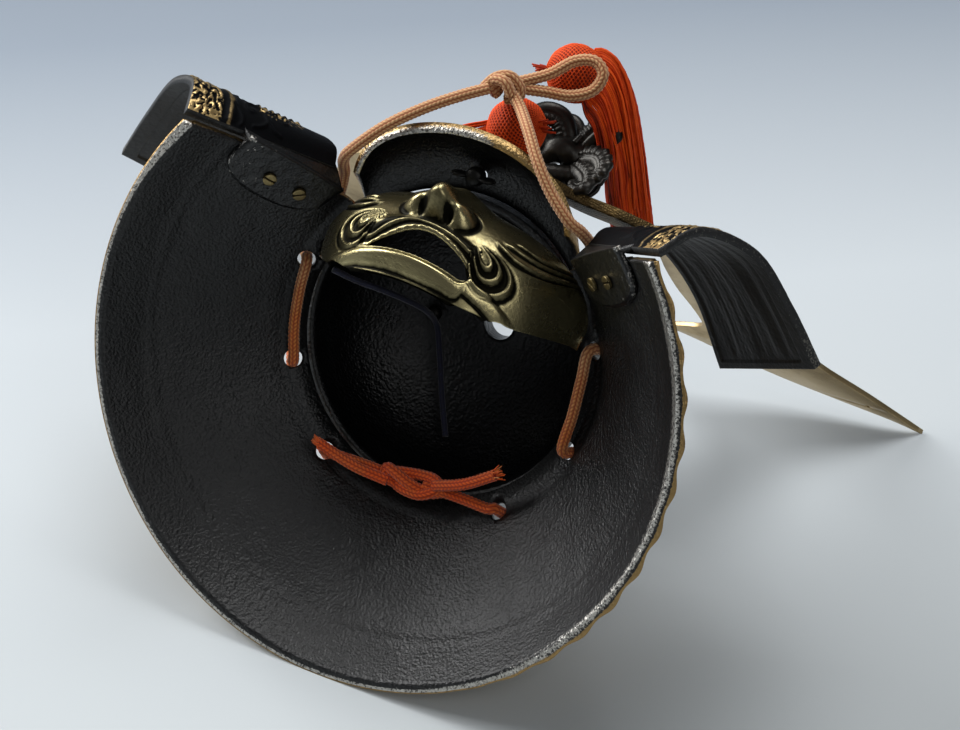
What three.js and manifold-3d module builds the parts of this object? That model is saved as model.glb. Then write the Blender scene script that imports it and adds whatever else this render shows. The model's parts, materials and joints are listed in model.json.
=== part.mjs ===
// A cast ornamental samurai helmet (kabuto) with a brass half mask, lying on its back.
// Units are millimetres. Every piece is made in the helmet's own frame: X to the wearer's left, Y to the
// back, Z to the crown, with the origin in the middle of the neck guard's ground rim. The last section tips
// that frame over, so that the guard's back rim and both horn tips stand on the plane Z = 0.
import * as THREE from 'three';
import { mergeVertices } from 'three/addons/utils/BufferGeometryUtils.js';
import Module from 'manifold-3d';

const wasm = await Module();
wasm.setup();

const { sin, cos, sqrt, abs, min, max, PI } = Math;
const V = (x, y, z) => new THREE.Vector3(x, y, z);
const rad = THREE.MathUtils.degToRad;
const mix = THREE.MathUtils.lerp;
const ramp = THREE.MathUtils.smoothstep;

// Stance
const TIP_OVER = rad(25.8); // how far the crown points below level

// Neck guard
const RIM_IN = 145;
const RIM_OUT = 149.5;
const CREASE = { r: 131, z: 20 };
const SHOULDER = { r: 84, z: 67 };
const SEAT = { r: 73, z: 73 };
const GUARD_WALL = 3.4;
const LAME_STEP = 1.8;
const LAMES = 3;
const LOBES = 33;
const LOBE_PITCH = 8; // degrees around the guard for one lobe
const GUARD_STEPS = LOBES * 2;
const HOLE_R = 5.2;
const HOLE_PLACES = [ // angle from the front, radius and height of each pair of cord holes
  { angle: 72.9, r: 81.6, z: 70 },
  { angle: 110, r: 80.5, z: 70.5 },
  { angle: 144.5, r: 83, z: 68.5 },
];

// Bowl
const BOWL_BASE = 77.8;
const CROWN_HOLE_R = 8.5;

// Visor
const VISOR = { half: 57, reach: 42, y: -70, z: 60, wall: 3.2, rim: 5.4 };

// Crest holder and horns, in a plane that leans back from the brow
const LEAN = rad(34.5);
const BROW = V(0, -90, 100);
const HOLDER_T = 5.4;
const HORN_T = 2.8;

// Cords
const CORD_R = 2.8;
const NAVY_R = 1.6;
const GAP = 0.35;

// Materials, one for each finish
const finish = (color, roughness, metalness) =>
  new THREE.MeshStandardMaterial({ color, roughness, metalness });
const LACQUER = finish(0x1b1c1e, 0.42, 0.2);
const GILT = finish(0x6d5a34, 0.5, 0.7);
const BRASS = finish(0xa98f55, 0.35, 0.9);
const DARK_BRASS = finish(0x6b5c35, 0.38, 0.85);
const BRONZE = finish(0x2a2824, 0.4, 0.6);
const SALMON = finish(0xc98b62, 0.9, 0);
const RED = finish(0xd1431f, 0.85, 0);
const NAVY = finish(0x1c2038, 0.9, 0);

const helmet = new THREE.Group();

function add(name, geometry, material, parent = helmet) {
  const mesh = new THREE.Mesh(geometry, material);
  mesh.name = name;
  parent.add(mesh);
  return mesh;
}

// Closed meshes and booleans

function weld(geometry) {
  const bare = geometry.clone();
  for (const key of Object.keys(bare.attributes)) {
    if (key !== 'position') bare.deleteAttribute(key);
  }
  return mergeVertices(bare, 1e-4);
}

function meshOf(points, faces) {
  const geometry = new THREE.BufferGeometry();
  const numbers = points.flatMap((p) => [p.x, p.y, p.z]);
  geometry.setAttribute('position', new THREE.Float32BufferAttribute(numbers, 3));
  geometry.setIndex(faces);
  let volume = 0;
  for (let i = 0; i < faces.length; i += 3) {
    const [a, b, c] = [points[faces[i]], points[faces[i + 1]], points[faces[i + 2]]];
    volume += a.dot(b.clone().cross(c));
  }
  if (volume < 0) geometry.setIndex(faces.reverse());
  return geometry;
}

// A wall between two grids of points of one size, closed around its four edges.
function wall(front, back) {
  const rows = front.length;
  const cols = front[0].length;
  const points = [...front.flat(), ...back.flat()];
  const f = (i, j) => i * cols + j;
  const b = (i, j) => rows * cols + f(i, j);
  const faces = [];
  const quad = (p, q, r, s) => faces.push(p, q, r, p, r, s);
  for (let i = 0; i + 1 < rows; i++) {
    for (let j = 0; j + 1 < cols; j++) {
      quad(f(i, j), f(i + 1, j), f(i + 1, j + 1), f(i, j + 1));
      quad(b(i, j), b(i, j + 1), b(i + 1, j + 1), b(i + 1, j));
    }
    quad(f(i, 0), b(i, 0), b(i + 1, 0), f(i + 1, 0));
    quad(f(i, cols - 1), f(i + 1, cols - 1), b(i + 1, cols - 1), b(i, cols - 1));
  }
  for (let j = 0; j + 1 < cols; j++) {
    quad(f(0, j), f(0, j + 1), b(0, j + 1), b(0, j));
    quad(f(rows - 1, j), b(rows - 1, j), b(rows - 1, j + 1), f(rows - 1, j + 1));
  }
  return meshOf(points, faces);
}

// A wall of a given thickness laid on one side of a surface point(u, v), with u and v from 0 to 1.
function shell(point, nu, nv, thickness, inset = 0) {
  const front = [];
  const back = [];
  const e = 1e-3;
  for (let i = 0; i <= nu; i++) {
    front.push([]);
    back.push([]);
    for (let j = 0; j <= nv; j++) {
      const [u, v] = [i / nu, j / nv];
      const du = point(min(u + e, 1), v).sub(point(max(u - e, 0), v));
      const dv = point(u, min(v + e, 1)).sub(point(u, max(v - e, 0)));
      const normal = du.cross(dv).normalize();
      const t = typeof thickness === 'function' ? thickness(u, v) : thickness;
      front[i].push(point(u, v).addScaledVector(normal, t - inset));
      back[i].push(point(u, v).addScaledVector(normal, -inset));
    }
  }
  return wall(front, back);
}

function solid(geometry) {
  const { position } = geometry.attributes;
  return new wasm.Manifold(new wasm.Mesh({
    numProp: 3,
    vertProperties: new Float32Array(position.array),
    triVerts: new Uint32Array(geometry.index.array),
  }));
}

function geometryOf(manifold) {
  const mesh = manifold.getMesh();
  const geometry = new THREE.BufferGeometry();
  geometry.setAttribute('position', new THREE.BufferAttribute(new Float32Array(mesh.vertProperties), 3));
  geometry.setIndex(new THREE.BufferAttribute(new Uint32Array(mesh.triVerts), 1));
  return weld(geometry);
}

const join = (parts) => geometryOf(parts.map((g) => solid(weld(g))).reduce((a, b) => a.add(b)));
const cut = (body, tools) =>
  geometryOf(tools.reduce((a, g) => a.subtract(solid(weld(g))), solid(weld(body))));

// A cylinder from one point to another.
function rod(a, b, radius, sides = 12) {
  const geometry = new THREE.CylinderGeometry(radius, radius, a.distanceTo(b), sides);
  const turn = new THREE.Quaternion().setFromUnitVectors(V(0, 1, 0), b.clone().sub(a).normalize());
  return geometry.applyQuaternion(turn).translate(...a.clone().add(b).multiplyScalar(0.5).toArray());
}

function ball(centre, rx, ry, rz, sides = 14) {
  return new THREE.SphereGeometry(1, sides, sides / 2 + 1).scale(rx, ry, rz).translate(...centre.toArray());
}

// A tube of a regular section through hand-placed points.
function tube(points, radius, steps, sides = 8) {
  const section = new THREE.Shape();
  for (let k = 0; k < sides; k++) {
    const angle = (2 * PI * k) / sides;
    section[k ? 'lineTo' : 'moveTo'](radius * cos(angle), radius * sin(angle));
  }
  section.closePath();
  const extrudePath = new THREE.CatmullRomCurve3(points, false, 'centripetal');
  return new THREE.ExtrudeGeometry(section, { steps, extrudePath, bevelEnabled: false });
}

function mirror(geometry) {
  const flipped = weld(geometry).scale(-1, 1, 1);
  flipped.setIndex([...flipped.index.array].reverse());
  return flipped;
}

// A point on a circle about the crown axis, with the angle counted from the front to the wearer's left.
const polar = (angle, r, z) => V(r * sin(rad(angle)), -r * cos(rad(angle)), z);

// Neck guard: one flared casting with overlapping lames on the outside and a ground flat rim

const frontEdge = (r) => 45.5 + (r - SHOULDER.r) * 0.108;

function alongProfile(profile, s) {
  const k = min(Math.floor(s * (profile.length - 1)), profile.length - 2);
  const t = s * (profile.length - 1) - k;
  return { r: mix(profile[k].r, profile[k + 1].r, t), z: mix(profile[k].z, profile[k + 1].z, t) };
}

function guardInner(s) { // 0 at the rim, 1 at the seat of the bowl
  if (s < 0.2) return alongProfile([{ r: RIM_IN, z: 0 }, CREASE], s / 0.2);
  if (s < 0.85) return alongProfile([CREASE, SHOULDER], (s - 0.2) / 0.65);
  return alongProfile([SHOULDER, SEAT], (s - 0.85) / 0.15);
}

// The outside follows the inside at the wall's thickness, and steps out toward each lame's lower edge.
function guardOuter(s, angle) {
  const inner = guardInner(s);
  const lame = (1 - s / 0.85) * LAMES;
  const saw = s < 0.85 ? lame - Math.floor(lame - 1e-6) : 0;
  const lobe = 0.5 + 0.5 * cos((angle - 180) / LOBE_PITCH * 2 * PI);
  const out = GUARD_WALL + LAME_STEP * saw * saw * (0.6 + 0.4 * lobe);
  const slope = s < 0.2 ? 0.6 : 0.74;
  return { r: inner.r + out * slope, z: inner.z + out * sqrt(1 - slope * slope) };
}

const guardRows = [0, 0.2];
for (let k = 1; k < LAMES; k++) {
  const s = 0.85 * (k / LAMES);
  guardRows.push(s - 0.012, s + 0.004);
}
guardRows.push(0.85, 1);

function neckGuard() {
  const inner = [];
  const outer = [];
  const stations = guardRows.slice().sort((a, b) => a - b);
  for (let i = 0; i <= GUARD_STEPS; i++) {
    inner.push([]);
    outer.push([]);
    for (const s of stations) {
      const p = guardInner(s);
      const front = frontEdge(p.r);
      const angle = front + ((360 - 2 * front) * i) / GUARD_STEPS;
      const q = s === 0 ? { r: RIM_OUT, z: 0 } : guardOuter(s, angle);
      inner[i].push(polar(angle, p.r, p.z));
      outer[i].push(polar(angle, q.r, q.z));
    }
  }
  return wall(outer, inner);
}

const holes = HOLE_PLACES.flatMap(({ angle, r, z }) => [1, -1].map((side) => (
  rod(polar(side * angle, r - 5, z - 8), polar(side * angle, r + 7, z + 11.2), HOLE_R, 7))));
add('neck_guard', cut(neckGuard(), holes), LACQUER);

// Bowl: a cast dome with a raised ring around the crown hole

function bowl() {
  const profile = [
    [72.5, BOWL_BASE], [72.5, 92], [69.5, 105], [63, 117], [51.5, 128.5], [36.5, 137.5], [20, 142.5],
    [CROWN_HOLE_R, 143.5], [CROWN_HOLE_R, 155], [16, 155], [19, 151], [23, 147.5], [38.5, 141.5],
    [55, 132], [66.5, 120], [73.2, 106.5], [76, 92], [76, BOWL_BASE], [72.5, BOWL_BASE],
  ].map(([r, z]) => new THREE.Vector2(r, z));
  return weld(new THREE.LatheGeometry(profile.reverse(), 28).rotateX(PI / 2));
}
add('bowl', bowl(), LACQUER);

// Visor: an arched plate at the brow, thicker along its rolled rim

const BROW_ARC = 46;

function visorPoint(u, v) { // u across from the wearer's right to the left, v from the bowl out to the rim
  const a = mix(-1, 1, u);
  const top = polar(a * BROW_ARC, 77.8, 86 - 3 * a * a);
  const t = a * PI / 2;
  const rim = V(VISOR.half * sin(t), VISOR.y - VISOR.reach * cos(t), VISOR.z);
  rim.y -= 5 * abs(sin(t)) ** 3;
  const arch = 6 * sin(PI * v) * cos(t * 0.7);
  const swell = 2 * sin(PI * v) * sin(t);
  return top.lerp(rim, v).add(V(swell, -arch * 0.4, arch));
}

const visorBolt = rod(V(0, -87, 60), V(0, -87, 100), 2.8);
const visorWall = (u, v) =>
  mix(VISOR.wall, mix(VISOR.rim, VISOR.wall, abs(2 * u - 1) ** 4), ramp(v, 0.8, 1));
const visorShell = shell(visorPoint, 16, 5, visorWall);
add('visor', cut(visorShell, [visorBolt]), LACQUER);

// Crest holder: a boss on the brow and two arms, with a bolt down through the visor

const plane = new THREE.Group();
plane.position.copy(BROW);
plane.rotation.x = PI / 2 - LEAN;
helmet.add(plane);
const toPlane = (p) => p.clone().sub(BROW).applyAxisAngle(V(1, 0, 0), LEAN - PI / 2);

function plate(outline, thickness) {
  const shape = new THREE.Shape(outline.map(([x, y]) => new THREE.Vector2(x, y)));
  return new THREE.ExtrudeGeometry(shape, { depth: thickness, bevelEnabled: false, curveSegments: 6 })
    .translate(0, 0, -thickness / 2);
}

const smooth = (points, count) => new THREE.SplineCurve(points.map(([x, y]) => new THREE.Vector2(x, y)))
  .getPoints(count).map((p) => [p.x, p.y]);

const ARM_TOP = [[0, 6], [20, 12], [38, 24], [58, 30], [76, 38]];
const ARM_LOW = [[76, 26], [58, 18], [38, 12], [20, -2], [0, -7]];

function holder() {
  const right = [...smooth(ARM_TOP, 8), ...smooth(ARM_LOW, 8)];
  const left = right.map(([x, y]) => [-x, y]).reverse();
  const arms = [plate(right, HOLDER_T), plate(left, HOLDER_T)];
  const bolt = rod(toPlane(V(0, -87, 66)), toPlane(V(0, -87, 101)), 2.2);
  const foot = rod(toPlane(V(0, -87, 88.6)), toPlane(V(0, -87, 97)), 6.5);
  return cut(join([...arms, bolt, foot]), [1, -1].map((side) => {
    const slot = new THREE.BoxGeometry(16, 7.2, HORN_T + 2 * GAP);
    return slot.rotateZ(side * rad(24)).translate(side * 71.5, 30.4, 0);
  }));
}
add('crest_holder', holder(), GILT, plane);

// Horns: a plate with a tang in the holder's arm, a long outer tip and a short inner tip

const SUPPORT = RIM_OUT * cos(TIP_OVER);
const tipAlong = (SUPPORT - BROW.y * cos(TIP_OVER) - BROW.z * sin(TIP_OVER)
  - (HORN_T / 2) * cos(LEAN + TIP_OVER)) / sin(LEAN + TIP_OVER);
const HORN_TIP = [203, tipAlong];

function horn() {
  const outer = [[76.6, 30], [90, 38], [106, 58], [122, 90], [138, 122], [152, 145], [176, 168], HORN_TIP];
  const top = [HORN_TIP, [186, 190.5], [156, 184], [124, 176], [93, 164], [76, 156.5], [62, 152]];
  const inner = [[62, 152], [74, 144], [84, 138], [87, 130], [84, 112], [79, 92], [76, 70], [75, 50],
    [76.6, 37.5]];
  const outline = [...smooth(outer, 14), ...smooth(top, 10).slice(1), ...smooth(inner, 12).slice(1)];
  const blade = plate(outline, HORN_T);
  const tang = new THREE.BoxGeometry(16, 6.4, HORN_T).rotateZ(rad(24)).translate(72.4, 30.8, 0);
  const eye = rod(V(174, 180, -5), V(174, 180, 5), 1.6, 10);
  return cut(join([blade, tang]), [eye]);
}
add('horn_left', horn(), BRASS, plane);
add('horn_right', mirror(horn()), BRASS, plane);

// Wing nut under the visor

function wingNut() {
  const hub = rod(V(0, -87, 69), V(0, -87, 77), 4.6);
  const wings = [1, -1].map((side) => (
    ball(V(side * 7, -87, 70.5), 4.6, 1.5, 4.2, 6)));
  return cut(join([hub, ...wings]), [rod(V(0, -87, 60), V(0, -87, 80), 2.5)]);
}
add('visor_wing_nut', wingNut(), BRONZE);

// Turned back flaps: a curled wing in front of the guard's edge, cast with a tab inside the guard

const LOW_END = [V(118.6, -94.5, 1), V(129, -104, 20), V(150, -97, 38), V(168, -75, 50), V(184, -51, 60)];
const HIGH_END = [V(68, -73.5, 60.5), V(73, -81.5, 67), V(92, -80, 80), V(112, -58, 95), V(130, -25, 105)];
const lowCurve = new THREE.CatmullRomCurve3(LOW_END, false, 'centripetal');
const highCurve = new THREE.CatmullRomCurve3(HIGH_END, false, 'centripetal');
const FLAP_WALL = 4;

const flapPoint = (u, v) => lowCurve.getPoint(u).lerp(highCurve.getPoint(u), v);

const TAB = { low: 0.2, high: 0.82, off: 0.4, wall: 3 };

function tabPoint(u, v) { // u from the guard's front edge inward, v along the slope of the guard
  const s = mix(TAB.low + 0.03, TAB.high - 0.05, v);
  const p = guardInner(s);
  const reach = 3.2 + 8 * sqrt(max(0, 1 - abs(2 * v - 1) ** 2.4)) * mix(0.75, 1.25, v);
  const angle = frontEdge(p.r) + mix(-3.4, reach, u);
  return polar(angle, p.r - TAB.off * 0.71, p.z - TAB.off * 0.71);
}

const SCREWS = [0.41, 0.72]; // places along the tab
const screwSeat = (v) => tabPoint(0.54, v);
const guardNormal = (p) => V(-p.x, -p.y, 0).normalize().add(V(0, 0, -1)).normalize();

function rootPoint(u, v) { // the short web between the tab's front edge and the wing
  const inner = tabPoint(0.12, v);
  inner.addScaledVector(guardNormal(inner), TAB.wall / 2);
  return inner.lerp(flapPoint(0.06, inner.z / HIGH_END[0].z), u);
}

function flap() {
  const wing = shell(flapPoint, 10, 3, FLAP_WALL, FLAP_WALL / 2);
  const tab = shell(tabPoint, 3, 7, -TAB.wall);
  const root = shell(rootPoint, 1, 3, TAB.wall, TAB.wall / 2);
  const bores = SCREWS.map((v) => {
    const seat = screwSeat(v);
    const normal = guardNormal(seat);
    return rod(seat.clone().addScaledVector(normal, -3), seat.clone().addScaledVector(normal, 8), 1.9, 8);
  });
  return cut(join([wing, tab, root]), bores);
}
add('turnback_left', flap(), GILT);
add('turnback_right', mirror(flap()), GILT);

// Slotted screws that hold each tab

function screw(v) {
  const seat = screwSeat(v);
  const normal = guardNormal(seat);
  const at = (t) => seat.clone().addScaledVector(normal, t);
  const head = rod(at(TAB.wall + 0.4), at(TAB.wall + 2), 2.8, 8);
  const shank = rod(at(0.4), at(TAB.wall + 1), 1.5, 6);
  const slot = new THREE.BoxGeometry(0.8, 7, 1.6);
  slot.applyQuaternion(new THREE.Quaternion().setFromUnitVectors(V(0, 0, 1), normal));
  slot.translate(...at(TAB.wall + 2.2).toArray());
  return cut(join([head, shank]), [slot]);
}
SCREWS.forEach((v, k) => {
  add(`tab_screw_left_${k + 1}`, screw(v), BRASS);
  add(`tab_screw_right_${k + 1}`, mirror(screw(v)), BRASS);
});

// Half mask: a thin casting of nose, cheeks and lips, open at the back

const MASK = { half: 70.5, tilt: rad(63), roll: rad(3.4), at: V(2, -26, 65), wall: 2.4 };
const maskOut = V(0, -sin(MASK.tilt), -cos(MASK.tilt));
const maskUp = V(0, -cos(MASK.tilt), sin(MASK.tilt)).applyAxisAngle(maskOut, -MASK.roll);
const maskSide = V(1, 0, 0).applyAxisAngle(maskOut, -MASK.roll);
const maskFrame = new THREE.Matrix4().makeBasis(maskSide, maskUp, maskOut).setPosition(MASK.at);
const bump = (x, y, cx, cy, sx, sy) => Math.exp(-(((x - cx) / sx) ** 2) - ((y - cy) / sy) ** 2);

function maskPoint(p, q) { // p across from the wearer's right to the left, q from the lower edge up
  const a = mix(-PI / 2, PI / 2, p);
  const c = cos(a);
  const u = MASK.half * sin(a);
  const crown = 17 * c ** 0.35 - 9 * ramp(-u, 38, 64);
  const v = mix(-40 * (1 - abs(sin(a)) ** 3.4) - 1, 2 + crown, q);
  const belly = 12 * c * 4 * q * (1 - q);
  const w = mix(43.6 * c ** 1.5, 46 * c ** 0.8, q) + belly;
  const ridge = Math.exp(-((u / 11) ** 2)) * ramp(v, -14, -6);
  const nose = (9 + 7.5 * bump(u, v, 0, -3, 12, 9)) * ridge + 4 * bump(abs(u), v, 13, -4, 4.5, 6);
  const lips = 6 * bump(u, v, 0, -20, 28, 5) + 3 * bump(u, v, 0, -35, 30, 3.5);
  const cheek = 3 * bump(abs(u), v, 42, -8, 14, 12);
  return V(u, v, w + nose + lips + cheek).applyMatrix4(maskFrame);
}

const LIP_HIGH = [[-24.5, -30.8], [-18, -27], [-10, -24.2], [0, -22.5], [12, -22.3], [22, -24],
  [28.5, -27.5]];
const LIP_LOW = [[28.5, -27.5], [25.5, -30.9], [12, -31.4], [-8, -31.3], [-24.5, -30.8]];

function mouth() { // a crescent cut between the lips
  const shape = new THREE.Shape([...smooth(LIP_HIGH, 12), ...smooth(LIP_LOW, 9).slice(1, -1)]
    .map(([x, y]) => new THREE.Vector2(x, y)));
  return new THREE.ExtrudeGeometry(shape, { depth: 60, bevelEnabled: false }).translate(0, 0, 25)
    .applyMatrix4(maskFrame);
}

function faceMask() {
  const skin = shell(maskPoint, 18, 8, MASK.wall, MASK.wall);
  const eyelets = [0.05, 0.95].map((p) => {
    const at = maskPoint(p, 0.6);
    return rod(at.clone().add(V(-9, 0, 0)), at.clone().add(V(9, 0, 0)), NAVY_R + 0.5);
  });
  return cut(skin, [mouth(), ...eyelets]);
}
add('face_mask', faceMask(), DARK_BRASS);

// Small stud inside the bowl, near the crown
const STUD = { x: -32, y: 2 };

function bowlStud() {
  const head = ball(V(STUD.x, STUD.y, 132.6), 4.2, 4.2, 2.4, 10);
  return join([head, rod(V(STUD.x, STUD.y, 132.6), V(STUD.x, STUD.y, 138), 2)]);
}
add('bowl_stud', bowlStud(), BRONZE);

// Front crest: a cast dragon-like coil that stands on the wearer's left of the boss, with curled plumes and
// a tail that runs low along the holder
const CREST = { core: V(25.5, 22, 19), plumes: 6, reach: 30 };

function crest() {
  const core = new THREE.SphereGeometry(1, 10, 6).scale(19, 12, 14).translate(...CREST.core.toArray());
  const tail = tube([V(30, 22, 14), V(8, 20, 9), V(-14, 22, 8), V(-34, 27, 8), V(-46, 36, 8)], 4.4, 6, 6);
  const parts = [core, tail];
  for (let k = 0; k < CREST.plumes; k++) {
    const angle = mix(rad(128), rad(-22), k / (CREST.plumes - 1));
    const lift = mix(-8, 10, (k % 2));
    const at = (r, turn) => V(cos(angle - turn) * r, lift * (r / CREST.reach), sin(angle - turn) * r * 0.8)
      .add(CREST.core);
    parts.push(tube([at(6, 0), at(20, 0), at(28, 0.15), at(30, 0.45), at(25, 0.62)], 3.4, 5, 5));
  }
  return join(parts);
}
add('front_crest', crest(), BRONZE, plane);

// Tassels: a netted head and a skirt of strands, fused as locks

const HEAD_R = 14.5;

function tassel(centre, route, locks, lockR, wide, deep) {
  const parts = [ball(centre, HEAD_R, HEAD_R, HEAD_R * 0.92, 12)];
  for (let k = 0; k < locks; k++) {
    const side = mix(-1, 1, k / (locks - 1));
    const shift = (t) => V(side * wide, 0, (k % 2 ? deep : -deep)).multiplyScalar(mix(0.5, 1, t));
    const points = route.map((p, i) => p.clone().add(shift(i / (route.length - 1))));
    parts.push(tube([centre, ...points], lockR, 6, 5));
  }
  return join(parts);
}

const TASSELS = [
  {
    name: 'tassel_high', head: V(20, -138, 123), wide: 9,
    route: [V(30, -141, 127), V(38, -140, 131), V(45, -133, 136), V(50.5, -120, 143.5),
      V(50.5, -88, 158), V(50.5, -64, 168)],
  },
  {
    name: 'tassel_low', head: V(7, -110.5, 94.5), wide: 4,
    route: [V(-8, -106, 98), V(-20, -100, 98), V(-32, -91, 99), V(-43, -80, 101),
      V(-52, -68, 104), V(-59, -57, 108)],
  },
];
for (const { name, head, route, wide } of TASSELS) add(name, tassel(head, route, 5, 3.6, wide, 2.6), RED);

// Chin cord: one braided cord, tied at the back, threaded through the guard and knotted before the visor

function cordSide(side) { // from the back knot out and in through the guard's holes to the front knot
  const through = ({ angle, r, z }) => (t) => polar(side * angle, r + 5 * t, z + 8 * t);
  const [front, middle, back] = HOLE_PLACES.map(through);
  return [
    back(-0.45), back(0.6), back(1.25), polar(side * 133, 89.5, 79.5), polar(side * 121, 89.5, 79.5),
    middle(1.25), middle(0.6), middle(-0.45), V(side * 75.5, 8, 64.6), V(side * 76, -10, 64.6),
    front(-0.45), front(0.6), front(1.25), polar(side * 64, 89, 80), polar(side * 56, 88.5, 79),
  ];
}
const CORD_LEFT = [
  V(9, 66, 64), V(30, 66, 64), V(43, 66.5, 64), ...cordSide(1),
  V(69, -61, 75), V(65.5, -72, 68), V(62.5, -79, 59), V(57, -84, 53), V(46, -95, 51.5), V(36, -107, 53),
  V(26, -117, 61), V(15, -123.5, 74), V(8, -128, 79),
];
const CORD_RIGHT = [
  V(3, 67, 64), V(-24, 66, 64), V(-41, 66, 63.5), ...cordSide(-1),
  V(-69, -61, 75), V(-65.5, -72, 68), V(-62.5, -80, 58.5), V(-57, -87, 53.5), V(-42.6, -102, 54),
  V(-28, -114, 62), V(-14, -123, 69), V(-3, -129, 75),
];
const LOOP = [
  V(8, -131, 84), V(20, -132, 88), V(31, -132.5, 92), V(40, -137, 96), V(42.5, -145, 98.5), V(37, -150, 99),
  V(28, -148, 96.5), V(19, -140, 91), V(8, -134, 84),
];
const FRONT_KNOT = ball(V(3, -129.5, 80), 10.5, 7, 7.5, 12);
const BACK_KNOT = ball(V(5, 67, 64.5), 18, 6.6, 5.6, 12);
const grown = (geometry, by) => { // a copy with its surface moved out by a small gap
  geometry.computeBoundingBox();
  const size = geometry.boundingBox.getSize(V(0, 0, 0));
  const centre = geometry.boundingBox.getCenter(V(0, 0, 0));
  return geometry.clone().translate(...centre.clone().negate().toArray())
    .scale(1 + (2 * by) / size.x, 1 + (2 * by) / size.y, 1 + (2 * by) / size.z)
    .translate(...centre.toArray());
};
const knots = [FRONT_KNOT, BACK_KNOT].map((g) => grown(g, GAP));
add('chin_cord_knot', weld(FRONT_KNOT), SALMON);
add('back_cord_knot', weld(BACK_KNOT), SALMON);
add('chin_cord_left', cut(tube(CORD_LEFT, CORD_R, 24), knots), SALMON);
add('chin_cord_right', cut(tube(CORD_RIGHT, CORD_R, 24), knots), SALMON);
add('chin_cord_loop', cut(tube(LOOP, CORD_R, 9), knots), SALMON);
const END_LEFT = [V(16, 63, 60.5), V(32, 56, 57.5), V(47, 46, 57)];
add('back_cord_end_left', cut(tube(END_LEFT, CORD_R, 3), knots), SALMON);
const END_RIGHT = [V(-8, 68, 59), V(-26, 65, 55.5), V(-46, 60, 55.5)];
add('back_cord_end_right', cut(tube(END_RIGHT, CORD_R, 3), knots), SALMON);

// Mask cord: a thin navy braid from the mask over the stud, hanging down inside the bowl
const MASK_CORD = [
  V(-61, -24, 66), V(-50, -20, 73), V(-38, -16, 84), V(-28, -7, 106), V(-26, 4, 124), V(-22, 18, 126),
  V(-14, 38, 121), V(-4, 56, 112.5),
];
add('mask_cord', weld(tube(MASK_CORD, NAVY_R, 12, 6)), NAVY);

// Last: the whole helmet is tipped onto its back and set on the plane
helmet.rotation.x = -(PI / 2 + TIP_OVER);
helmet.position.z = SUPPORT;
const part = new THREE.Group();
part.name = 'kabuto';
part.add(helmet);
part.updateMatrixWorld(true);
const box = new THREE.Box3().setFromObject(helmet, true);
helmet.position.y = -(box.min.y + box.max.y) / 2;

export default part;
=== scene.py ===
# A cast ornamental samurai helmet lying on its back, with its horns, half mask, tassels and cords.
# Pieces are made in the helmet's own frame, in millimetres: X to the wearer's left, Y to the back and Z to
# the crown, from the middle of the neck guard's ground rim. The matrix HELM lays that frame in the row's.
import json
import math
import random

import bmesh
import bpy
import numpy as np
from mathutils import Matrix, Vector, noise


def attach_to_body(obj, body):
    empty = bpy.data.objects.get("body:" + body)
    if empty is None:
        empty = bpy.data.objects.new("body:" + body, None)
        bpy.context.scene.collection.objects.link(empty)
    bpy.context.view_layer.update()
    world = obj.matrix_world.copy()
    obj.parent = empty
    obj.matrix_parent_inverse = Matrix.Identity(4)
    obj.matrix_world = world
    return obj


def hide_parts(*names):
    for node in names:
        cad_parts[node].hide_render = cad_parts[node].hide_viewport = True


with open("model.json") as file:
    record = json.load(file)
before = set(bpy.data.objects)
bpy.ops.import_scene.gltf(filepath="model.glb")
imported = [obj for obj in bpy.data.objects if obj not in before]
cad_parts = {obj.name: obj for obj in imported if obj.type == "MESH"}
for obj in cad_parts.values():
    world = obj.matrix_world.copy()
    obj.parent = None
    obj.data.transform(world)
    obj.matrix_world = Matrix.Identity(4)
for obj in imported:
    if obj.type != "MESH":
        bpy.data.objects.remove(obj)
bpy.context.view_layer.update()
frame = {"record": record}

rest = frame["record"]["mounts"][0]  # the rim: its outward normal is the helmet's -Z, and its place is y 147.25
up = -Vector(rest["axis"]).normalized()
back = up.cross(Vector((1, 0, 0)))
seat = Vector(rest["pos_m"]) - back * 0.14725
HELM = Matrix((Vector((1, 0, 0)), back, up)).transposed().to_4x4()
HELM = Matrix.Translation(seat) @ HELM @ Matrix.Scale(0.001, 4)

# Camera: a portrait lens over the table's near right, looking down into the helmet from its open side. Its
# place and angle are those from which such a helmet shows its mask, its cords and both flaps.
def in_scene(name, data):
    made = bpy.data.objects.new(name, data)
    bpy.context.scene.collection.objects.link(made)
    return made


camera = in_scene("camera", bpy.data.cameras.new("camera"))
camera.location = (0.3935, -0.7563, 0.8098)
camera.rotation_euler = (math.radians(90 - 40.54), 0, math.radians(26.69))
camera.data.lens = 85.05
camera.data.sensor_width = 36
bpy.context.scene.camera = camera

# Cords. The chin cord is one round cotton braid of sixteen strands, dyed orange and faded to salmon where
# light reached it. It is tied in a square knot at the back, runs out and in through the guard's holes and
# ends in a bow before the visor.
HOLES = [(72.9, 81.6, 70), (110, 80.5, 70.5), (144.5, 83, 68.5)]  # angle from the front, radius and height
CORD_R = 2.8
NAVY_R = 1.6


def linear(code):
    """An sRGB hex colour as a linear RGBA."""
    parts = [int(code[i:i + 2], 16) / 255 for i in (1, 3, 5)]
    return [c / 12.92 if c <= 0.04045 else ((c + 0.055) / 1.055) ** 2.4 for c in parts] + [1]


def polar(angle, r, z):
    """A point round the crown axis, with the angle from the front to the wearer's left."""
    return Vector((r * math.sin(math.radians(angle)), -r * math.cos(math.radians(angle)), z))


def mix(a, b, t):
    return a + (b - a) * t


def ramp(x, low, high):
    t = min(max((x - low) / (high - low), 0), 1)
    return t * t * (3 - 2 * t)


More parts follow.
